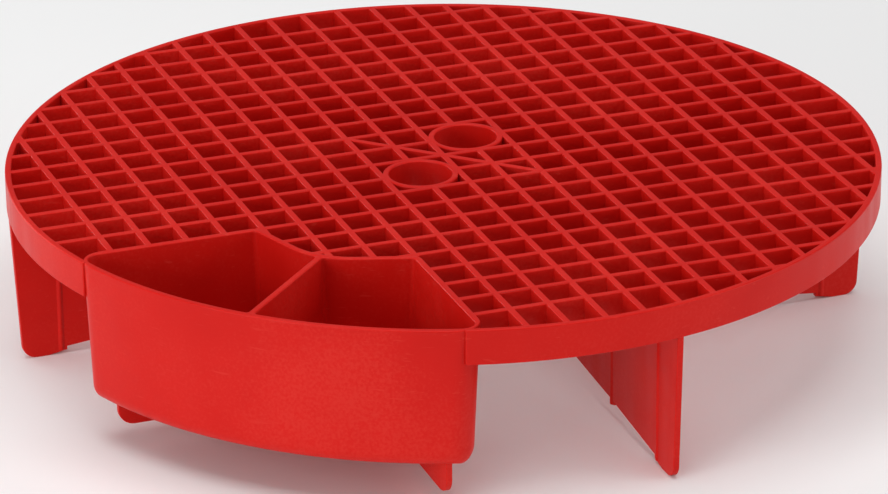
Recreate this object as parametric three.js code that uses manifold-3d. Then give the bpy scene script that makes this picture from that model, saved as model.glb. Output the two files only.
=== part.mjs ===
// Round grid insert with a two-compartment caddy at its rim and stiffening fins that are its feet.
// The real part is a single plastic moulding; each named mesh is one region of that moulding.
// Millimetres, +Z up. Origin: centre of the round deck, on the ground under the feet.
// The caddy faces -Y. The part is mirrored about the plane X = 0, but the right leg is the longer one.
import * as THREE from 'three';
import { mergeVertices } from 'three/addons/utils/BufferGeometryUtils.js';
import Module from 'manifold-3d';

const wasm = await Module();
wasm.setup();
const { Manifold, Mesh } = wasm;

// ---- driving dimensions ----
const PITCH = 11.5;                     // spacing of the grid ribs, which run at 45 degrees to X and Y
const TOP = 56;                         // height of the flat deck above the ground
const RIB = 2.0;                        // thickness of a grid rib
const RIB_DEPTH = 9.8;                  // height of a grid rib
const LAST_RIB = 10;                    // ribs run from -LAST_RIB to +LAST_RIB pitches off centre
const RIM_RADIUS = 131.6;               // outside of the rim at the deck
const RIM_WALL = 1.9;
const RIM_HEIGHT = 10.6;
const BAND_DRAFT = Math.tan(THREE.MathUtils.degToRad(0.5));
const FIN_DRAFT = Math.tan(THREE.MathUtils.degToRad(3));
const WALL_DRAFT = Math.tan(THREE.MathUtils.degToRad(1));    // the caddy's outer wall
const END_DRAFT = Math.tan(THREE.MathUtils.degToRad(2.2));   // the caddy's end walls
const GAP = 0.3;                        // clearance between neighbouring regions
const LEAST_EDGE = 0.02;                // anything finer is cleaned off the finished solids
const LIMIT = 12 * PITCH;               // safely outside the rim

const FIN = 1.9;                        // thickness of a fin, of the web and of a leg
const FIN_LINE = 2;                     // the fins lie on rib lines this many pitches off centre
const FOOT_IN = 9.84 * PITCH;           // inner end of a fin's flat foot, along the fin
const FOOT_FLAT = 4;                    // length of the level part of the foot, at its outer end
const FOOT_RISE = 1;                    // how much higher the foot's inner end is
const FOOT_CORNER = 4.4;                // radius from the foot to the fin's outer edge
const EDGE_STEP = 2.1;                  // step from the foot up to the fin's lower edge
const EDGE_SLOPE = 0.072;               // rise of the lower edge towards the centre
const KNEE = 1.0;                       // how much the edge between bead and foot is lower than that
const BEAD = 1.4;                       // radius of the round beads that stiffen a fin
const OUTER_BEAD = 10;                  // places of the beads along the fin, in pitches
const INNER_BEAD = 7;
const BEAD_DROP = 1.4;                  // how far the inner bead reaches below the fin's edge

const HOLE_OFFSET = Math.SQRT2 * PITCH; // the finger holes' centres, before and behind the middle
const HOLE_RADIUS = 9.5;
const COLLAR_RADIUS = 11.3;
const COLLAR_DEPTH = 10.6;
const FRONT_SEAM = 6;                   // rib line that ends the grid's front centre panel

const CADDY_DEPTH = 42.8;                 // from the deck to the underside of the caddy
const CADDY_WALL = 2.0;
const CADDY_FLOOR = 2.2;
const DIVIDER = 2.0;
const END_LINE = 3;                     // the caddy's end walls lie on rib lines this far off centre
const SPINE = 7.588 * PITCH;            // where the two halves of the inner wall would meet, unrounded
const SPINE_SLOPE = 0.5;                // slope of each half of the inner wall
const SPINE_RADIUS = 2 * PITCH;         // rounding where the halves of the inner wall meet
const CORNER_OUTER = 7;                 // caddy corner between an end wall and the outer wall
const BAND_LAP = 4.4;                   // of the rim band over that corner, from the end wall's face
const CORNER_INNER = 3.6;               // caddy corner between an end wall and the inner wall
const CORNER_LEAST = 1.6;               // smallest corner radius inside the caddy
const BASE_RADIUS = 5.0;                // rounding of the caddy's lower outside edge
const BASE_STEPS = 3;
const END_STRIP = 3.4;                  // width of the end wall's region inside the end line
const CORNER_STRIP = 8.4;               // its width at the outer corner
const CORNER_STRIP_START = 9.5;         // where that width begins, in pitches

const LEG_LINE = 3.77;                  // the two legs stand this many pitches off centre
const LEG_OUT = 10.2 * PITCH;
const RIGHT_LEG_OUT = LEG_OUT + 2.7;
const LEG_IN = 7.2 * PITCH;
const LEG_CORNER = 5;
const LEG_FOOT = 9;                     // from the outer edge to the end of the flat foot
const LEG_LIFT = 4.9;                   // height of a leg's foot above the ground
const RIGHT_LEG_LIFT = 3.4;
const LEG_RISE = 0.6;                   // how much higher the inner end of a leg's foot is

const RING_SIDES = 128;
const HOLE_SIDES = 40;
const BEAD_SIDES = 14;
const CORNER_STEPS = 4;
const OUTER_STEPS = 14;                 // steps along half of the caddy's outer wall

const RED = 0xc4211c;
const ROUGHNESS = 0.42;

// ---- solids ----
const toSolid = (geometry) => {
  geometry.deleteAttribute('normal');
  geometry.deleteAttribute('uv');
  const merged = mergeVertices(geometry, 1e-4);
  return new Manifold(new Mesh({
    numProp: 3,
    vertProperties: merged.attributes.position.array,
    triVerts: new Uint32Array(merged.index.array),
  }));
};

const toGeometry = (solid) => {
  const mesh = solid.asOriginal().simplify(LEAST_EDGE).getMesh();
  const geometry = new THREE.BufferGeometry();
  geometry.setAttribute('position', new THREE.BufferAttribute(mesh.vertProperties, 3));
  geometry.setIndex(new THREE.BufferAttribute(mesh.triVerts, 1));
  geometry.computeVertexNormals();
  return geometry;
};

const toShape = (outline) => new THREE.Shape(outline.map(([x, y]) => new THREE.Vector2(x, y)));

// An upright prism on an outline of [x, y] points.
const prism = (outline, low, high) => {
  const geometry = new THREE.ExtrudeGeometry(toShape(outline), { depth: high - low, bevelEnabled: false });
  return toSolid(geometry.translate(0, 0, low));
};

// A flat plate that stands on edge along +X: its profile is in [x, z] points.
const plate = (profile, thickness) => {
  const geometry = new THREE.ExtrudeGeometry(toShape(profile), { depth: thickness, bevelEnabled: false });
  return toSolid(geometry.rotateX(Math.PI / 2).translate(0, thickness / 2, 0));
};

// A shell through a stack of outlines with equal numbers of points: [{ outline, z }, ...], upwards.
const loftGeometry = (levels) => {
  const count = levels[0].outline.length;
  const last = (levels.length - 1) * count;
  const faces = [];
  for (let start = 0; start < last; start += count) {
    for (let k = 0; k < count; k++) {
      const a = start + k;
      const b = start + ((k + 1) % count);
      faces.push(a, b, b + count, a, b + count, a + count);
    }
  }
  const cap = ({ outline }) => THREE.ShapeUtils.triangulateShape(toShape(outline).getPoints(), []);
  for (const [a, b, c] of cap(levels[0])) faces.push(a, c, b);
  for (const [a, b, c] of cap(levels.at(-1))) faces.push(a + last, b + last, c + last);
  const positions = levels.flatMap(({ outline, z }) => outline.flatMap(([x, y]) => [x, y, z]));
  const geometry = new THREE.BufferGeometry();
  geometry.setAttribute('position', new THREE.Float32BufferAttribute(positions, 3));
  geometry.setIndex(faces);
  return geometry;
};

const upright = (radius, low, high, [x, y] = [0, 0], sides = RING_SIDES) => {
  const geometry = new THREE.CylinderGeometry(radius, radius, high - low, sides);
  return toSolid(geometry.rotateX(Math.PI / 2).translate(x, y, (low + high) / 2));
};

// A ring round Z whose section is a closed list of [radius, z] points.
const ring = (section, sides) => {
  const points = section.map(([radius, z]) => new THREE.Vector2(radius, z));
  return toSolid(new THREE.LatheGeometry(points, sides).rotateX(Math.PI / 2));
};

// Trimming can leave loose rib ends, so only the largest connected piece is kept.
const largest = (solid) => solid.decompose().reduce((a, b) => (a.volume() > b.volume() ? a : b));

// ---- plan geometry ----
// The ribs run in two directions, U and V. lattice(i, j) is the point i pitches along U and j along V.
const lattice = (i, j) => [(i + j) * PITCH * Math.SQRT1_2, (i - j) * PITCH * Math.SQRT1_2];
const region = (corners) => corners.map(([i, j]) => lattice(i, j));
const mirrored = (corners) => corners.map(([i, j]) => [-j, -i]);

const arc = ([cx, cy], radius, from, to, steps) => Array.from({ length: steps + 1 }, (_, k) => {
  const angle = from + ((to - from) * k) / steps;
  return [cx + radius * Math.cos(angle), cy + radius * Math.sin(angle)];
});

const SLANT = Math.atan(SPINE_SLOPE);
const SPINE_CENTRE = SPINE - SPINE_RADIUS / Math.cos(SLANT);    // distance of the rounding's centre
const CADDY_BOTTOM = TOP - CADDY_DEPTH;

// Right half of the caddy's outline, counter-clockwise from the outer wall's middle to the inner
// wall's. inset is the distance inside the outer faces, drop the depth below the deck, and middle
// the distance kept from the mirror plane. At an inset of one wall it is the outline of a cavity.
const caddyHalf = (inset, drop, middle) => {
  const radius = RIM_RADIUS - drop * WALL_DRAFT - inset;
  const end = CADDY_WALL / 2 - END_LINE * PITCH - drop * END_DRAFT - inset;
  const inner = CADDY_WALL / 2 - SPINE * Math.cos(SLANT) - inset;
  const spine = SPINE_RADIUS - CADDY_WALL / 2 + inset;
  const outerCorner = Math.max(CORNER_OUTER - inset, CORNER_LEAST);
  const innerCorner = Math.max(CORNER_INNER - inset, CORNER_LEAST);
  const endNormal = Math.PI / 4;
  const innerNormal = Math.PI / 2 + SLANT;

  const across = end - outerCorner;
  const along = -Math.sqrt((radius - outerCorner) ** 2 - across ** 2);
  const outerCentre = [(across - along) * Math.SQRT1_2, (across + along) * Math.SQRT1_2];
  const contact = Math.atan2(outerCentre[1], outerCentre[0]);

  const d1 = end - innerCorner;
  const d2 = inner - innerCorner;
  const turn = Math.sin(innerNormal - endNormal);
  const innerCentre = [
    (d1 * Math.sin(innerNormal) - d2 * Math.sin(endNormal)) / turn,
    (d2 * Math.cos(endNormal) - d1 * Math.cos(innerNormal)) / turn,
  ];
  const south = -Math.PI / 2;
  return [
    ...arc([0, 0], radius, south + Math.asin(middle / radius), contact, OUTER_STEPS),
    ...arc(outerCentre, outerCorner, contact, endNormal, CORNER_STEPS).slice(1),
    ...arc(innerCentre, innerCorner, endNormal, innerNormal, CORNER_STEPS),
    ...arc([0, -SPINE_CENTRE], spine, south + SLANT, south + Math.asin(middle / spine), CORNER_STEPS),
  ];
};

const flipX = (outline) => outline.map(([x, y]) => [-x, y]).reverse();
const caddyOutline = (inset, drop) => {
  const right = caddyHalf(inset, drop, 0);
  return [...right, ...flipX(right).slice(1, -1)];
};

// A block on a caddy outline, with its drafted walls, from low to just above the deck.
const caddyBlock = (outlineAt, low) => loftGeometry([
  { outline: outlineAt(TOP - low), z: low },
  { outline: outlineAt(-1), z: TOP + 1 },
]);

// ---- the deck: rim, grid, web and finger-hole collars ----
const rimInside = RIM_RADIUS - RIM_WALL;
const bandBottom = TOP - RIM_HEIGHT;
const bandRadius = RIM_RADIUS - RIM_HEIGHT * BAND_DRAFT;

// The rim band laps over the caddy's rounded corners by BAND_LAP.
const rimBand = () => {
  const section = [
    [rimInside, bandBottom], [bandRadius, bandBottom], [RIM_RADIUS, TOP], [rimInside, TOP],
    [rimInside, bandBottom],
  ];
  const edge = END_LINE - (CADDY_WALL / 2 - BAND_LAP) / PITCH;
  const far = LIMIT / PITCH;
  const bay = region([[-edge, edge], [-edge, far], [-far, far], [-far, edge]]);
  const caddy = toSolid(caddyBlock((drop) => caddyOutline(-GAP, drop), bandBottom - 1));
  return ring(section, RING_SIDES).subtract(caddy).subtract(prism(bay, bandBottom - 1, TOP + 1));
};

const holeCentres = { front: [0, -HOLE_OFFSET], back: [0, HOLE_OFFSET] };
const collar = () => ring([
  [HOLE_RADIUS, TOP - COLLAR_DEPTH], [COLLAR_RADIUS, TOP - COLLAR_DEPTH],
  [COLLAR_RADIUS, TOP], [HOLE_RADIUS, TOP], [HOLE_RADIUS, TOP - COLLAR_DEPTH],
], HOLE_SIDES);

// The grid is drawn along the ribs, at 45 degrees to the part: X runs along U and Y against V.
const EIGHTH = Math.PI / 4;
const gridRegion = (corners) => corners.map(([i, j]) => [i * PITCH, -j * PITCH]);

// All the ribs, trimmed to the space that the rim, the caddy and the collars leave.
const ribs = () => {
  const bars = [];
  for (let k = -LAST_RIB; k <= LAST_RIB; k++) {
    const along = new THREE.BoxGeometry(2 * LIMIT, RIB, RIB_DEPTH);
    const across = new THREE.BoxGeometry(RIB, 2 * LIMIT, RIB_DEPTH);
    bars.push(toSolid(along.translate(0, k * PITCH, TOP - RIB_DEPTH / 2)));
    bars.push(toSolid(across.translate(k * PITCH, 0, TOP - RIB_DEPTH / 2)));
  }
  const low = TOP - RIB_DEPTH - 1;
  const caddy = caddyBlock((drop) => caddyOutline(-GAP, drop), low).rotateZ(-EIGHTH);
  const collarSpace = ([x, y]) => {
    const centre = [(x + y) * Math.SQRT1_2, (y - x) * Math.SQRT1_2];
    return upright(COLLAR_RADIUS + GAP, low, TOP + 1, centre, HOLE_SIDES);
  };
  const taken = [toSolid(caddy), ...Object.values(holeCentres).map(collarSpace)];
  const space = upright(rimInside - GAP, low, TOP + 1).subtract(Manifold.union(taken));
  return Manifold.union(bars).intersect(space);
};

// The fins and the web divide the grid; the part in front is divided again beside the caddy.
const gridPanels = () => {
  const far = LIMIT / PITCH;
  const side = (FIN / 2 + GAP) / PITCH;
  const near = FIN_LINE - side;
  const past = FIN_LINE + side;
  const corner = near + side * Math.SQRT2;
  const seam = FRONT_SEAM - RIB / 2 / PITCH;
  const inside = seam - GAP / PITCH;
  const right = [[past, past], [far, past], [far, far], [past, far]];
  const front = [[-seam, -near], [-seam, far], [-far, far], [-far, -near]];
  const outlines = {
    grid_right: right,
    grid_left: mirrored(right),
    grid_back: [[corner, near], [far, near], [far, -far], [-near, -far], [-near, -corner]],
    grid_front_left: front,
    grid_front_right: mirrored(front),
    grid_front_centre: [
      [near, corner], [near, inside], [-inside, inside], [-inside, -near], [-corner, -near],
    ],
  };
  const all = ribs();
  const cut = (outline) => all.intersect(prism(gridRegion(outline), TOP - RIB_DEPTH - 1, TOP + 1));
  return Object.entries(outlines).map(([name, outline]) => [name, largest(cut(outline))]);
};

const finStart = FIN_LINE * PITCH + FIN / 2 + GAP;
const lowerEdge = (along) => FOOT_RISE + EDGE_STEP + (FOOT_IN - along) * EDGE_SLOPE;

const centreWeb = () => {
  const reach = Math.SQRT2 * (FIN_LINE * PITCH + FIN / 2) - FIN / 2;
  const low = lowerEdge(finStart);
  return plate([[-reach, low], [reach, low], [reach, TOP], [-reach, TOP]], FIN);
};

// ---- the caddy ----
const caddyParts = () => {
  const levels = [];
  for (let k = 0; k <= BASE_STEPS; k++) {
    const angle = (k / BASE_STEPS) * (Math.PI / 2);
    const z = CADDY_BOTTOM + BASE_RADIUS * (1 - Math.cos(angle));
    levels.push({ outline: caddyOutline(BASE_RADIUS * (1 - Math.sin(angle)), TOP - z), z });
  }
  levels.push({ outline: caddyOutline(0, 0), z: TOP });
  const body = toSolid(loftGeometry(levels));

  const low = CADDY_BOTTOM - 1;
  const cavity = (extra) => (drop) => caddyHalf(CADDY_WALL + extra, drop, DIVIDER / 2 + extra);
  const left = (outlineAt) => (drop) => flipX(outlineAt(drop));
  const block = (outlineAt) => toSolid(caddyBlock(outlineAt, low));
  const cavities = [cavity(0), left(cavity(0))].map(block);
  const walls = body.subtract(Manifold.union(cavities));

  // The walls are parted just inside the outer wall, beside the end walls and behind the divider.
  const seamRadius = RIM_RADIUS - CADDY_DEPTH * WALL_DRAFT - CADDY_WALL;
  const rest = walls.intersect(upright(seamRadius - GAP, low, TOP + 1));
  const far = LIMIT / PITCH;
  const edge = END_LINE + END_STRIP / PITCH;
  const bayEdge = edge + GAP / PITCH;
  const wide = END_LINE + CORNER_STRIP / PITCH;
  const turn = CORNER_STRIP_START;
  const endStrip = [[-edge, 0], [0, 0], [0, far], [-wide, far], [-wide, turn], [-edge, turn]];
  const bay = [[-bayEdge, bayEdge], [-bayEdge, far], [-far, far], [-far, bayEdge]];
  const back = -(SPINE_CENTRE + SPINE_RADIUS + CADDY_WALL / 2);
  const box = (x, y0, y1) => prism([[-x, y0], [x, y0], [x, y1], [-x, y1]], low, TOP + 1);
  const within = (outline) => rest.intersect(prism(region(outline), low, TOP + 1));

  const floorTop = CADDY_BOTTOM + CADDY_FLOOR;
  const under = upright(LIMIT, low, floorTop);
  const floor = (outlineAt) => body.intersect(block(outlineAt)).intersect(under);
  return [
    ['caddy_outer_wall', walls.subtract(upright(seamRadius, low, TOP + 1))],
    ['caddy_inner_wall', within(bay).intersect(box(LIMIT, back, 0))],
    ['caddy_end_wall_right', within(endStrip)],
    ['caddy_end_wall_left', within(mirrored(endStrip))],
    ['caddy_divider', rest.intersect(box(DIVIDER, -LIMIT, back - GAP))],
    ['caddy_floor_right', floor(cavity(GAP))],
    ['caddy_floor_left', floor(left(cavity(GAP)))],
  ].map(([name, solid]) => [name, largest(solid)]);
};

// ---- fins and legs, each drawn along +X from the middle of the deck ----
const outerFace = (z, line, radius, top) => {
  const skin = radius - (top - z) * FIN_DRAFT;
  return Math.sqrt(skin ** 2 - line ** 2);
};

const fin = () => {
  const line = FIN_LINE * PITCH + FIN / 2;
  const under = bandBottom - GAP;
  const atRim = Math.sqrt((rimInside - GAP) ** 2 - line ** 2);
  const outside = (z) => outerFace(z, line, bandRadius, bandBottom);
  const cornerCentre = [outside(FOOT_CORNER) - FOOT_CORNER, FOOT_CORNER];
  const profile = [
    [finStart, TOP], [atRim, TOP], [atRim, under], [outside(under), under],
    ...arc(cornerCentre, FOOT_CORNER, 0, -Math.PI / 2, CORNER_STEPS),
    [cornerCentre[0] - FOOT_FLAT, 0], [FOOT_IN, FOOT_RISE],
    [FOOT_IN, lowerEdge(FOOT_IN) - KNEE], [INNER_BEAD * PITCH, lowerEdge(INNER_BEAD * PITCH)],
    [finStart, lowerEdge(finStart)],
  ];
  const bead = (place, low) => upright(BEAD, low, TOP - RIB_DEPTH - GAP, [place * PITCH, 0], BEAD_SIDES);
  const inner = bead(INNER_BEAD, lowerEdge(INNER_BEAD * PITCH) - BEAD_DROP);
  return Manifold.union([plate(profile, FIN), bead(OUTER_BEAD, FOOT_RISE), inner]);
};

const leg = (out, lift) => {
  const high = CADDY_BOTTOM - GAP;
  const cornerCentre = [out - LEG_CORNER, lift + LEG_CORNER];
  return plate([
    [LEG_IN, high], [out, high],
    ...arc(cornerCentre, LEG_CORNER, 0, -Math.PI / 2, CORNER_STEPS),
    [out - LEG_FOOT, lift], [LEG_IN, lift + LEG_RISE],
  ], FIN);
};

// ---- assembly ----
const part = new THREE.Group();

const add = (name, solid, [x, y] = [0, 0], angle = 0) => {
  const material = new THREE.MeshStandardMaterial({ color: RED, roughness: ROUGHNESS, metalness: 0 });
  const mesh = new THREE.Mesh(toGeometry(solid), material);
  mesh.name = name;
  mesh.position.set(x, y, 0);
  mesh.rotation.z = angle;
  part.add(mesh);
};

add('rim_band', rimBand());
for (const [name, solid] of gridPanels()) add(name, solid, [0, 0], EIGHTH);
add('centre_web', centreWeb());
for (const [name, centre] of Object.entries(holeCentres)) add(`finger_collar_${name}`, collar(), centre);
for (const [name, solid] of caddyParts()) add(name, solid);

add('fin_front_right', fin(), lattice(FIN_LINE, 0), -EIGHTH);
add('fin_front_left', fin(), lattice(0, -FIN_LINE), -3 * EIGHTH);
add('fin_back_right', fin(), lattice(0, FIN_LINE), EIGHTH);
add('fin_back_left', fin(), lattice(-FIN_LINE, 0), 3 * EIGHTH);
add('caddy_leg_right', leg(RIGHT_LEG_OUT, RIGHT_LEG_LIFT), lattice(-LEG_LINE, 0), -EIGHTH);
add('caddy_leg_left', leg(LEG_OUT, LEG_LIFT), lattice(0, LEG_LINE), -3 * EIGHTH);

export default part;
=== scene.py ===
"""Looks for the round grid insert with its rim caddy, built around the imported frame.

The object is one red plastic moulding. Each piece here is a stretch of that moulding with its
rounded edges, and neighbouring pieces run into one another so that no seam shows.
Outlines are in millimetres and meshes in metres. The caddy faces -Y and the deck's top is flat.
"""
import math

import bpy
from mathutils import Matrix, Vector
from mathutils.geometry import tessellate_polygon


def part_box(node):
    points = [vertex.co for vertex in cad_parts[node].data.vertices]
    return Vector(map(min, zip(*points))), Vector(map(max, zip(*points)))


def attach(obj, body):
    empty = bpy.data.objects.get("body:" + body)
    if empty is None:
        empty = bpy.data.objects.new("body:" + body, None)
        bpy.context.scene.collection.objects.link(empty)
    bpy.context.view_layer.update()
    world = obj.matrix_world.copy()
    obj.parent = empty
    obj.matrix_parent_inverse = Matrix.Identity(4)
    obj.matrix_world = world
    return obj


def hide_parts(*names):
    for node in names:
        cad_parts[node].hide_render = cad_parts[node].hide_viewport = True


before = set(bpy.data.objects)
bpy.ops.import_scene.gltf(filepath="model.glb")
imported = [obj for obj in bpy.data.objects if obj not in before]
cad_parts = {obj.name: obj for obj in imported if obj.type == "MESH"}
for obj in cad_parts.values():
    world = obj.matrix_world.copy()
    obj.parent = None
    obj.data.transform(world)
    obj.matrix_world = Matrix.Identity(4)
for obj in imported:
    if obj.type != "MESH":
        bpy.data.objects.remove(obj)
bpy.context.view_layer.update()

# ---- sizes in millimetres, the main ones from the frame ----
MM = 0.001
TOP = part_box("rim_band")[1].z / MM
BAND_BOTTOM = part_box("rim_band")[0].z / MM
RIM_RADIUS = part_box("rim_band")[1].x / MM
CADDY_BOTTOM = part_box("caddy_floor_right")[0].z / MM
PITCH = 11.5                 # spacing of the ribs, which run at 45 degrees to X and Y
RIB = 2.0
RIB_DEPTH = 9.8
RIB_DRAFT = math.tan(math.radians(0.4))
LAST_RIB = 10
RIM_WALL = 1.9
RIM_BITE = 0.6               # the ribs end this share of the rim's wall short of its outside
BAND_DRAFT = math.tan(math.radians(0.5))
FIN_DRAFT = math.tan(math.radians(3))
WALL_DRAFT = math.tan(math.radians(1))       # the caddy's outer wall
END_DRAFT = math.tan(math.radians(2.2))      # the caddy's end walls
FIN = 1.9
FIN_LINE = 2 * PITCH         # the fins lie on these rib lines
FOOT_IN = 9.84 * PITCH
FOOT_FLAT = 4.0
FOOT_RISE = 1.0
FOOT_CORNER = 4.4
EDGE_STEP = 2.1
EDGE_SLOPE = 0.072
BEAD = 1.4
BEAD_NECK = 0.8              # half width of a bead at its sides
BEADS = (10 * PITCH, 7 * PITCH)
BEAD_DROP = 1.4
KNEE = 1.0                   # how much lower a fin's edge is at the foot than its slope puts it
HOLE_OFFSET = math.sqrt(2) * PITCH
HOLE_RADIUS = 9.5
COLLAR_RADIUS = 11.3
COLLAR_DEPTH = 10.6
CADDY_WALL = 2.0
CADDY_FLOOR = 2.2
DIVIDER = 2.0
END_LINE = 3 * PITCH
SPINE = 7.588 * PITCH
SLANT = math.atan(0.5)
SPINE_RADIUS = 2 * PITCH
SPINE_CENTRE = SPINE - SPINE_RADIUS / math.cos(SLANT)
CORNER_OUTER = 7.0
BAND_LAP = 6.4               # of the rim band over the caddy's outer corner, from the end wall's face
CORNER_INNER = 3.6
CORNER_LEAST = 1.6
TIGHTENING = 1.6             # of the outer corner's radius, per millimetre inwards
BASE_RADIUS = 5.0
LEG_LINE = 3.77 * PITCH
LEG_OUT = {"right": 10.2 * PITCH + 2.7, "left": 10.2 * PITCH}   # the right leg is the longer one
LEG_IN = 7.2 * PITCH
LEG_CORNER = 5.0
LEG_FOOT = 9.0
LEG_RISE = 0.6

EDGE = 0.3                   # rounding of thin edges
LIP = 0.5                    # rounding of the caddy's, the rim's and the collars' top edges
FLOOR_FILLET = 2.5
DIVIDER_FILLET = 1.2
BITE = 1.0                   # how far a piece runs into its neighbour
LAYER = 0.01                 # the pieces' flat tops are stepped by this, so that no two coincide
FADE = ((0.15, 0.03), (0.3, 0.12), (0.42, 0.3))   # (length, depth) of the band's rounded ends
EDGE_STEPS = 3
LIP_STEPS = 4
CORNER_STEPS = 8
OUTER_STEPS = 28
RING_SIDES = 288
HOLE_SIDES = 96
BEAD_SIDES = 16
RUN_STEP = 0.1               # step at which a rib's ends are looked for
SHARP = math.radians(38)     # edges sharper than this stay creased
FLOOR_REACH = 4000

# ---- outlines ----
def arc(centre, radius, start, end, steps=CORNER_STEPS):
    """Points on a circle from one angle to another."""
    angles = [start + (end - start) * k / steps for k in range(steps + 1)]
    return [(centre[0] + radius * math.cos(a), centre[1] + radius * math.sin(a)) for a in angles]


def rounded(points, radii):
    """A closed outline whose corners are arcs of the given radii."""
    result = []
    for k, (point, radius) in enumerate(zip(points, radii)):
        corner = Vector(point)
        if radius == 0:
            result.append(tuple(corner))
            continue
        before = (Vector(points[k - 1]) - corner).normalized()
        after = (Vector(points[(k + 1) % len(points)]) - corner).normalized()
        half = before.angle(after) / 2
        centre = corner + (before + after).normalized() * (radius / math.sin(half))
        start = corner + before * (radius / math.tan(half)) - centre
        end = corner + after * (radius / math.tan(half)) - centre
        turn = math.atan2(start.cross(end), start.dot(end))
        first = math.atan2(start.y, start.x)
        result += arc(centre, radius, first, first + turn, LIP_STEPS)
    return result


def shrunk(points, distance):
    """A counter-clockwise outline moved inwards, with its corners mitred."""
    result = []
    for k, point in enumerate(points):
        before = (Vector(point) - Vector(points[k - 1])).normalized()
        after = (Vector(points[(k + 1) % len(points)]) - Vector(point)).normalized()
        inward = Vector((-before.y, before.x)) + Vector((-after.y, after.x))
        result.append(tuple(Vector(point) + inward * (2 * distance / inward.length_squared)))
    return result


def counter_clockwise(points):
    area = sum(a[0] * b[1] - b[0] * a[1] for a, b in zip(points, points[1:] + points[:1]))
    return points if area > 0 else points[::-1]


# ---- closed meshes, as (points, faces) ----
def joined(*shells):
    points, faces = [], []
    for shell_points, shell_faces in shells:
        start = len(points)
        points += shell_points
        faces += [tuple(start + k for k in face) for face in shell_faces]
    return points, faces


def bands(first, count, levels):
    """Faces between consecutive loops of count points each."""
    faces = []
    for level in range(levels - 1):
        a = first + level * count
        for k in range(count):
            n = (k + 1) % count
            faces.append((a + k, a + n, a + count + n, a + count + k))
    return faces


def slab(outline, low, high, place, draft=0.0):
    """A plate on an outline, from low to high, with rounded edges. place maps (u, v, w) to a point."""
    outline = counter_clockwise(list(outline))
    turns = [k / EDGE_STEPS * math.pi / 2 for k in range(EDGE_STEPS + 1)]
    bottom = [(EDGE * (1 - math.sin(a)), low + EDGE * (1 - math.cos(a))) for a in turns]
    top = [(inset, low + high - w) for inset, w in reversed(bottom)]
    points = []
    for inset, w in bottom + top:
        loop = shrunk(outline, inset + draft * (high - w))
        points += [place(u, v, w) for u, v in loop]
    count, levels = len(outline), len(bottom + top)
    last = (levels - 1) * count
    caps = [tuple(reversed(range(count))), tuple(range(last, last + count))]
    return points, bands(0, count, levels) + caps


def ring(section, sides, centre):
    """A section of (radius, z) points swept all round an upright axis."""
    angles = [2 * math.pi * k / sides for k in range(sides)]
    points = [
        (centre[0] + r * math.cos(a), centre[1] + r * math.sin(a), z) for a in angles for r, z in section
    ]
    count, last = len(section), len(points) - len(section)
    closing = [(last + k, last + (k + 1) % count, (k + 1) % count, k) for k in range(count)]
    return points, bands(0, count, sides) + closing


def bow(section, sides, start, end):
    """A section swept from one angle to another, whose outside sinks away at both ends."""
    inner, outer = min(r for r, _ in section), max(r for r, _ in section)
    stops = [(start - length / outer, depth) for length, depth in reversed(FADE)]
    stops += [(start + (end - start) * k / sides, 0) for k in range(sides + 1)]
    stops += [(end + length / outer, depth) for length, depth in FADE]
    points = []
    for angle, depth in stops:
        for r, z in section:
            sunk = r - depth * (r - inner) / (outer - inner)
            points.append((sunk * math.cos(angle), sunk * math.sin(angle), z))
    count, last = len(section), len(points) - len(section)
    caps = [tuple(reversed(range(count))), tuple(range(last, last + count))]
    return points, bands(0, count, len(stops)) + caps


def wall_section(inner, outer_low, outer_high, low, high):
    """The section of an upright ring wall with rounded edges."""
    corners = [(inner, low), (outer_low, low), (outer_high, high), (inner, high)]
    return rounded(corners, (EDGE, EDGE, LIP, LIP))


# ---- the caddy's plan ----
def caddy_half(inset, drop, middle):
    """Right half of the caddy's outline, inset inside its outer faces, at a depth of drop below the
    deck, from the outer wall's middle round to the inner wall's, middle clear of the mirror plane."""
    radius = RIM_RADIUS - drop * WALL_DRAFT - inset
    end = CADDY_WALL / 2 - END_LINE - drop * END_DRAFT - inset
    inner = CADDY_WALL / 2 - SPINE * math.cos(SLANT) - inset
    spine = SPINE_RADIUS - CADDY_WALL / 2 + inset
    outer_corner = max(CORNER_OUTER - TIGHTENING * inset, CORNER_LEAST)
    inner_corner = max(CORNER_INNER - inset, CORNER_LEAST)
    end_normal = math.pi / 4
    inner_normal = math.pi / 2 + SLANT

    across = end - outer_corner
    along = -math.sqrt((radius - outer_corner) ** 2 - across ** 2)
    outer_centre = ((across - along) * math.sqrt(0.5), (across + along) * math.sqrt(0.5))
    contact = math.atan2(outer_centre[1], outer_centre[0])

    d1, d2 = end - inner_corner, inner - inner_corner
    turn = math.sin(inner_normal - end_normal)
    inner_centre = (
        (d1 * math.sin(inner_normal) - d2 * math.sin(end_normal)) / turn,
        (d2 * math.cos(end_normal) - d1 * math.cos(inner_normal)) / turn,
    )
    south = -math.pi / 2
    return (
        arc((0, 0), radius, south + math.asin(middle / radius), contact, OUTER_STEPS)
        + arc(outer_centre, outer_corner, contact, end_normal)[1:]
        + arc(inner_centre, inner_corner, end_normal, inner_normal)
        + arc((0, -SPINE_CENTRE), spine, south + SLANT, south + math.asin(middle / spine))
    )


def flipped(outline):
    return [(-x, y) for x, y in reversed(outline)]


def caddy_outline(inset, drop):
    right = caddy_half(inset, drop, 0)
    return right + flipped(right)[1:-1]


def cavity_outline(extra, drop):
    """Right compartment, extra inside its walls' faces."""
    half = caddy_half(CADDY_WALL + extra, drop, DIVIDER / 2 + extra)
    radii = [0.0] * len(half)
    radii[0] = radii[-1] = DIVIDER_FILLET
    return rounded(half, radii)


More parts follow.
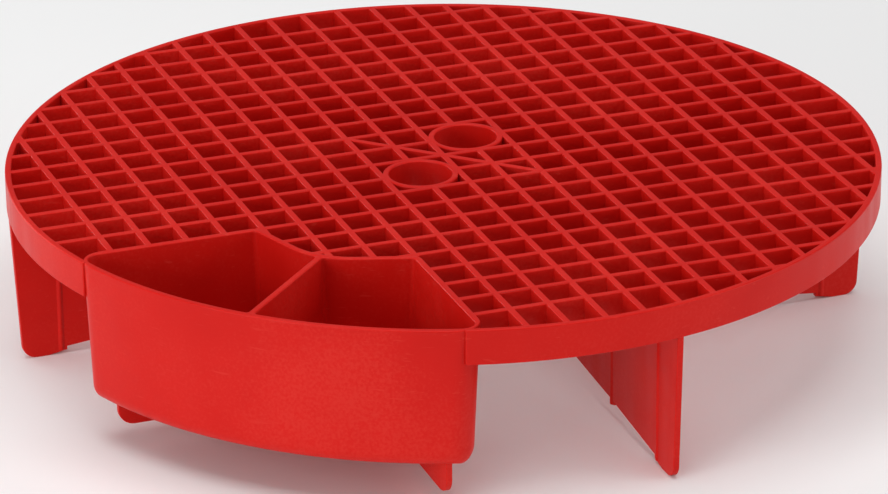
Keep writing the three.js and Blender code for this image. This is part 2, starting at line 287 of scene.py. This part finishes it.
def in_caddy(x, y):
    """Whether a point of the deck is inside the caddy's walls, where the ribs end."""
    x = abs(x)
    if (x + y) * math.sqrt(0.5) > CADDY_WALL / 4 - END_LINE:
        return False
    if y + SPINE_CENTRE < 0 and x < -(y + SPINE_CENTRE) * math.tan(SLANT):
        return math.hypot(x, y + SPINE_CENTRE) > SPINE_RADIUS
    return y * math.cos(SLANT) - x * math.sin(SLANT) < -SPINE * math.cos(SLANT)


# ---- building each piece ----
def rib_runs(line):
    """The (start, end) stretches of the rib on a line. It ends inside the walls that it meets."""
    collar = (HOLE_RADIUS + COLLAR_RADIUS) / 2
    rim = RIM_RADIUS - RIM_BITE * RIM_WALL

    def clear(along):
        x, y = (along - line) * math.sqrt(0.5), (along + line) * math.sqrt(0.5)
        in_collar = min(math.hypot(x, y - HOLE_OFFSET), math.hypot(x, y + HOLE_OFFSET)) < collar
        return math.hypot(x, y) < rim and not in_collar and not in_caddy(x, y)

    runs = []
    start = None
    for k in range(int(-RIM_RADIUS / RUN_STEP), int(RIM_RADIUS / RUN_STEP) + 1):
        along = k * RUN_STEP
        inside = clear(along)
        if inside and start is None:
            start = along
        if not inside and start is not None:
            runs.append((start, along))
            start = None
    return [(a, b) for a, b in runs if b - a > 2 * RIB]


def rib_family(turned):
    """All the ribs in one direction: along (1, 1) or, turned, along (1, -1)."""
    # The deck is mirror-symmetric in X, so the turned family is the first one mirrored.
    side = -1 if turned else 1

    def place(u, v, w):
        return (side * (u - v) * math.sqrt(0.5), (u + v) * math.sqrt(0.5), w)

    shells = []
    for k in range(-LAST_RIB, LAST_RIB + 1):
        near, far = k * PITCH - RIB / 2, k * PITCH + RIB / 2
        for a, b in rib_runs(k * PITCH):
            corners = [(a, near), (b, near), (b, far), (a, far)]
            shells.append(slab(corners, TOP - RIB_DEPTH, TOP - 4 * LAYER, place, draft=RIB_DRAFT))
    return joined(*shells)


def caddy_shell():
    """The tub: outside, two compartments, floor and top edge, as one closed surface."""
    quarter = [k / CORNER_STEPS * math.pi / 2 for k in range(CORNER_STEPS + 1)]
    lip = [k / LIP_STEPS * math.pi / 2 for k in range(LIP_STEPS + 1)]
    lip_start = TOP - 2 * LAYER - LIP
    floor_top = CADDY_BOTTOM + CADDY_FLOOR

    # Each level is an (inset, height) pair.
    outside = [
        (BASE_RADIUS * (1 - math.sin(a)), CADDY_BOTTOM + BASE_RADIUS * (1 - math.cos(a))) for a in quarter
    ]
    outside += [(LIP * (1 - math.cos(a)), lip_start + LIP * math.sin(a)) for a in lip]
    inside = [(-LIP * (1 - math.cos(a)), lip_start + LIP * math.sin(a)) for a in reversed(lip)]
    inside += [
        (FLOOR_FILLET * (1 - math.cos(a)), floor_top + FLOOR_FILLET * (1 - math.sin(a))) for a in quarter
    ]

    points, faces = [], []

    def add_loops(outline_at, levels):
        first = len(points)
        for inset, z in levels:
            loop = outline_at(inset, TOP - z)
            points.extend((x, y, z) for x, y in loop)
        count = len(loop)
        faces.extend(bands(first, count, len(levels)))
        last = first + (len(levels) - 1) * count
        return range(first, first + count), range(last, last + count)

    base, rim = add_loops(caddy_outline, outside)
    faces.append(tuple(reversed(base)))
    brims = []
    for outline_at in (cavity_outline, lambda extra, drop: flipped(cavity_outline(extra, drop))):
        brim, bottom = add_loops(outline_at, inside)
        brims.append(brim)
        faces.append(tuple(bottom))
    loops = [rim, *brims]
    flat_index = [k for loop in loops for k in loop]
    triangles = tessellate_polygon([[Vector(points[k]) for k in loop] for loop in loops])
    faces += [tuple(flat_index[k] for k in triangle) for triangle in triangles]
    return points, faces


def lower_edge(along):
    return FOOT_RISE + EDGE_STEP + (FOOT_IN - along) * EDGE_SLOPE


def on_edge(origin, angle):
    """Places a plate that stands on edge: u along it, v upwards, w across it."""
    c, s = math.cos(angle), math.sin(angle)
    return lambda u, v, w: (origin[0] + u * c - w * s, origin[1] + u * s + w * c, v)


def upright(origin, angle):
    """Places an upright piece drawn in a fin's own plan."""
    c, s = math.cos(angle), math.sin(angle)
    return lambda u, v, w: (origin[0] + u * c - v * s, origin[1] + u * s + v * c, w)


def lattice(i, j):
    return ((i + j) * math.sqrt(0.5), (i - j) * math.sqrt(0.5))


def ridge(along):
    """Plan of a bead, which swells softly out of the fin's two faces."""
    half = [-1 + 2 * k / BEAD_SIDES for k in range(BEAD_SIDES + 1)]
    swell = [(t, BEAD_NECK + (BEAD - BEAD_NECK) * (1 + math.cos(math.pi * t)) / 2) for t in half]
    front = [(along + BEAD * t, -width) for t, width in swell]
    return front + [(along + BEAD * t, width) for t, width in reversed(swell)]


def fin(origin, angle):
    """A fin with its flat foot, and its two beads."""
    line = FIN_LINE + FIN / 2
    band = RIM_RADIUS - (TOP - BAND_BOTTOM) * BAND_DRAFT

    def outside(z):
        return math.sqrt((band - (BAND_BOTTOM - z) * FIN_DRAFT) ** 2 - line ** 2)

    at_rim = math.sqrt((RIM_RADIUS - RIM_WALL / 2) ** 2 - line ** 2)
    start = FIN_LINE - FIN / 2
    toe = outside(FOOT_CORNER) - FOOT_CORNER
    profile = [
        (start, TOP - BITE), (start, lower_edge(start)), (BEADS[1], lower_edge(BEADS[1])),
        (FOOT_IN, lower_edge(FOOT_IN) - KNEE),
        (FOOT_IN, FOOT_RISE), (toe - FOOT_FLAT, 0),
        *arc((toe, FOOT_CORNER), FOOT_CORNER, -math.pi / 2, 0),
        (outside(BAND_BOTTOM), BAND_BOTTOM), (at_rim, BAND_BOTTOM + BITE), (at_rim, TOP - BITE),
    ]
    plate = slab(profile, -FIN / 2, FIN / 2, on_edge(origin, angle))
    lows = (FOOT_RISE, lower_edge(BEADS[1]) - BEAD_DROP)
    beads = [
        slab(ridge(along), low, TOP - RIB_DEPTH + EDGE, upright(origin, angle))
        for along, low in zip(BEADS, lows)
    ]
    return plate, joined(*beads)


def leg(origin, angle, out, lift):
    high = CADDY_BOTTOM + BITE
    profile = [
        (LEG_IN, high), (LEG_IN, lift + LEG_RISE), (out - LEG_FOOT, lift),
        *arc((out - LEG_CORNER, lift + LEG_CORNER), LEG_CORNER, -math.pi / 2, 0),
        (out, high),
    ]
    return slab(profile, -FIN / 2, FIN / 2, on_edge(origin, angle))


def web():
    reach = math.sqrt(2) * FIN_LINE
    low = lower_edge(FIN_LINE)
    high = TOP - 3 * LAYER
    profile = [(-reach, low), (reach, low), (reach, high), (-reach, high)]
    return slab(profile, -FIN / 2, FIN / 2, on_edge((0, 0), 0))


# ---- material ----
def shader(material):
    """An empty node tree with its shader and output, and short ways to add nodes and links."""
    material.use_nodes = True
    tree = material.node_tree
    tree.nodes.clear()
    output = tree.nodes.new("ShaderNodeOutputMaterial")
    surface = tree.nodes.new("ShaderNodeBsdfPrincipled")
    tree.links.new(surface.outputs["BSDF"], output.inputs["Surface"])

    def node(kind, inputs=None, **settings):
        made = tree.nodes.new(kind)
        for name, value in settings.items():
            setattr(made, name, value)
        for name, value in (inputs or {}).items():
            if isinstance(value, bpy.types.NodeSocket):
                tree.links.new(value, made.inputs[name])
            else:
                made.inputs[name].default_value = value
        return made

    def link(value, socket):
        tree.links.new(value, surface.inputs[socket])

    return surface, node, link


RED_BRIGHT = (0.640, 0.0110, 0.0070, 1)
RED_DEEP = (0.560, 0.0080, 0.0050, 1)
RED_SCUFFED = (0.720, 0.080, 0.055, 1)


def moulded_red():
    """Satin red polypropylene: fine grain, cloudy gloss, slight tone changes, mottling and scuffs."""
    material = bpy.data.materials.new("moulded_red")
    surface, node, link = shader(material)
    surface.inputs["Specular IOR Level"].default_value = 0.12
    place = node("ShaderNodeTexCoord").outputs["Object"]

    def stretched(scale, rotation=(0, 0, 0)):
        inputs = {"Vector": place, "Rotation": rotation, "Scale": scale}
        return node("ShaderNodeMapping", inputs).outputs["Vector"]

    def noise(scale, detail, vector=place):
        inputs = {"Vector": vector, "Scale": scale, "Detail": detail}
        return node("ShaderNodeTexNoise", inputs).outputs["Fac"]

    def ranged(value, low, high, least=0.0, most=1.0):
        """Maps low to high onto least to most, and clamps the rest."""
        inputs = {"Value": value, "From Min": low, "From Max": high, "To Min": least, "To Max": most}
        return node("ShaderNodeMapRange", inputs).outputs["Result"]

    def combined(operation, a, b):
        return node("ShaderNodeMath", {0: a, 1: b}, operation=operation).outputs["Value"]

    def mixed(factor, a, b):
        inputs = {"Factor": factor, "A": a, "B": b}
        return node("ShaderNodeMix", inputs, data_type="RGBA").outputs["Result"]

    cloud = noise(22.0, 3.0)
    tone = mixed(ranged(cloud, 0.3, 0.7), RED_DEEP, RED_BRIGHT)
    streaks = noise(1.0, 2.0, stretched((60.0, 420.0, 900.0), rotation=(0.3, 0.1, 0.8)))
    scuff = ranged(streaks, 0.66, 0.74)
    mottle = ranged(combined("MULTIPLY", noise(1100.0, 3.0), cloud), 0.24, 0.42, most=0.16)
    wear = combined("MAXIMUM", combined("MULTIPLY", scuff, 0.22), mottle)
    link(mixed(wear, tone, RED_SCUFFED), "Base Color")

    flow = noise(1.0, 4.0, stretched((150.0, 150.0, 14.0)))
    satin = ranged(combined("ADD", flow, cloud), 0.7, 1.3, 0.3, 0.48)
    link(combined("ADD", satin, combined("MULTIPLY", scuff, 0.12)), "Roughness")

    sink = node("ShaderNodeBump", {"Height": noise(55.0, 1.0), "Strength": 0.6, "Distance": 0.0006})
    grain_inputs = {"Height": noise(1500.0, 2.0), "Strength": 0.35, "Distance": 0.00005}
    grain = node("ShaderNodeBump", {**grain_inputs, "Normal": sink.outputs["Normal"]})
    link(grain.outputs["Normal"], "Normal")
    return material


red = moulded_red()


# ---- pieces ----
def make_object(name, shell):
    points, faces = shell
    mesh = bpy.data.meshes.new(name)
    mesh.from_pydata([Vector(p) * MM for p in points], [], faces)
    mesh.validate()
    obj = bpy.data.objects.new(name, mesh)
    bpy.context.scene.collection.objects.link(obj)
    return obj


def united(name, shell, other):
    """The union of two closed meshes as one object."""
    obj = make_object(name, shell)
    tool = make_object(name + "_tool", other)
    union = obj.modifiers.new("union", "BOOLEAN")
    union.operation = "UNION"
    union.solver = "MANIFOLD"
    union.object = tool
    graph = bpy.context.evaluated_depsgraph_get()
    mesh = bpy.data.meshes.new_from_object(obj.evaluated_get(graph))
    obj.modifiers.clear()
    obj.data = mesh
    bpy.data.objects.remove(tool)
    return obj


def dress(obj, *nodes):
    """Shades a piece, gives it the plastic and puts it in the place of CAD nodes."""
    obj.data.shade_smooth()
    obj.data.set_sharp_from_angle(angle=SHARP)
    weights = obj.modifiers.new("normals", "WEIGHTED_NORMAL")
    weights.keep_sharp = True
    obj.data.materials.clear()
    obj.data.materials.append(red)
    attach(obj, "root")
    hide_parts(*nodes)


grid = united("grid_ribs", rib_family(turned=False), rib_family(turned=True))
dress(
    grid, "grid_right", "grid_left", "grid_back", "grid_front_left", "grid_front_right", "grid_front_centre"
)

# The band laps over the caddy's rounded corners, where its ends stand a little proud.
lap = CADDY_WALL / 2 - END_LINE - BAND_LAP
band_end = math.pi / 4 - math.acos(lap / RIM_RADIUS)
band_low = RIM_RADIUS - (TOP - BAND_BOTTOM) * BAND_DRAFT
band = wall_section(RIM_RADIUS - RIM_WALL, band_low, RIM_RADIUS, BAND_BOTTOM, TOP)
rim = make_object("rim_band_rounded", bow(band, RING_SIDES, band_end, math.pi - band_end))
dress(rim, "rim_band")

collar_section = wall_section(
    HOLE_RADIUS, COLLAR_RADIUS, COLLAR_RADIUS, TOP - COLLAR_DEPTH, TOP - LAYER
)
for side, y in (("front", -HOLE_OFFSET), ("back", HOLE_OFFSET)):
    collar = make_object(f"collar_{side}", ring(collar_section, HOLE_SIDES, (0, y)))
    dress(collar, f"finger_collar_{side}")

dress(make_object("web", web()), "centre_web")

tub = make_object("caddy_tub", caddy_shell())
dress(
    tub, "caddy_outer_wall", "caddy_inner_wall", "caddy_end_wall_right", "caddy_end_wall_left",
    "caddy_divider", "caddy_floor_right", "caddy_floor_left",
)

FINS = {
    "front_right": (lattice(FIN_LINE, 0), -math.pi / 4),
    "front_left": (lattice(0, -FIN_LINE), -3 * math.pi / 4),
    "back_right": (lattice(0, FIN_LINE), math.pi / 4),
    "back_left": (lattice(-FIN_LINE, 0), 3 * math.pi / 4),
}
for name, (origin, angle) in FINS.items():
    dress(united(f"foot_{name}", *fin(origin, angle)), f"fin_{name}")

LEGS = {
    "right": (lattice(-LEG_LINE, 0), -math.pi / 4),
    "left": (lattice(0, LEG_LINE), -3 * math.pi / 4),
}
for name, (origin, angle) in LEGS.items():
    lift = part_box(f"caddy_leg_{name}")[0].z / MM
    dress(make_object(f"leg_{name}", leg(origin, angle, LEG_OUT[name], lift)), f"caddy_leg_{name}")

# ---- floor, light and camera ----
floor_corners = [(x * FLOOR_REACH, y * FLOOR_REACH, 0) for x, y in ((-1, -1), (1, -1), (1, 1), (-1, 1))]
floor = make_object("floor", (floor_corners, [(0, 1, 2, 3)]))
paper = bpy.data.materials.new("paper")
paper_surface, _, _ = shader(paper)
paper_surface.inputs["Base Color"].default_value = (0.90, 0.90, 0.90, 1)
paper_surface.inputs["Roughness"].default_value = 0.9
paper_surface.inputs["Specular IOR Level"].default_value = 0.1
floor.data.materials.append(paper)

world = bpy.data.worlds.new("studio")
world.use_nodes = True
world.node_tree.nodes["Background"].inputs["Color"].default_value = (1, 1, 1, 1)
world.node_tree.nodes["Background"].inputs["Strength"].default_value = 0.27
scene = bpy.context.scene
scene.world = world
scene.view_settings.view_transform = "Standard"
scene.view_settings.look = "None"


def softbox(name, place, size, power):
    """A square area light aimed at the object."""
    light = bpy.data.lights.new(name, "AREA")
    light.size = size
    light.energy = power
    obj = bpy.data.objects.new(name, light)
    obj.location = place
    aim = Vector((0, 0, TOP * MM)) - obj.location
    obj.rotation_euler = aim.to_track_quat("-Z", "Y").to_euler()
    scene.collection.objects.link(obj)


softbox("overhead", (0.0, -0.15, 1.5), 1.3, 15.4)
softbox("key", (-0.75, -1.2, 0.6), 0.6, 2.5)
softbox("low_fill", (-0.4, -1.35, 0.15), 0.8, 9.8)
softbox("left_card", (-1.25, 0.2, 0.25), 0.7, 4.3)
softbox("right_card", (1.25, 0.3, 0.3), 0.7, 5)

AZIMUTH = math.radians(24.662)
ELEVATION = math.radians(22.92)
ROLL = math.radians(-0.451)
DISTANCE = 133.1 * PITCH
SIDEWAYS = 0.022 * PITCH
LOWERED = 2.426 * PITCH
SENSOR = 36
LENS = 206.2
CLIP_END = 20

forward = Vector((
    -math.sin(AZIMUTH) * math.cos(ELEVATION),
    math.cos(AZIMUTH) * math.cos(ELEVATION),
    -math.sin(ELEVATION),
))
level_right = Vector((math.cos(AZIMUTH), math.sin(AZIMUTH), 0))
level_up = level_right.cross(forward)
right = math.cos(ROLL) * level_right + math.sin(ROLL) * level_up
up = math.cos(ROLL) * level_up - math.sin(ROLL) * level_right

camera = bpy.data.objects.new("camera", bpy.data.cameras.new("camera"))
camera.data.sensor_width = SENSOR
camera.data.lens = LENS
camera.data.clip_end = CLIP_END
place = Vector((0, 0, TOP)) - DISTANCE * forward + SIDEWAYS * right - LOWERED * up
axes = Matrix((right, up, -forward)).transposed()
camera.matrix_world = Matrix.Translation(place * MM) @ axes.to_4x4()
scene.collection.objects.link(camera)
scene.camera = camera
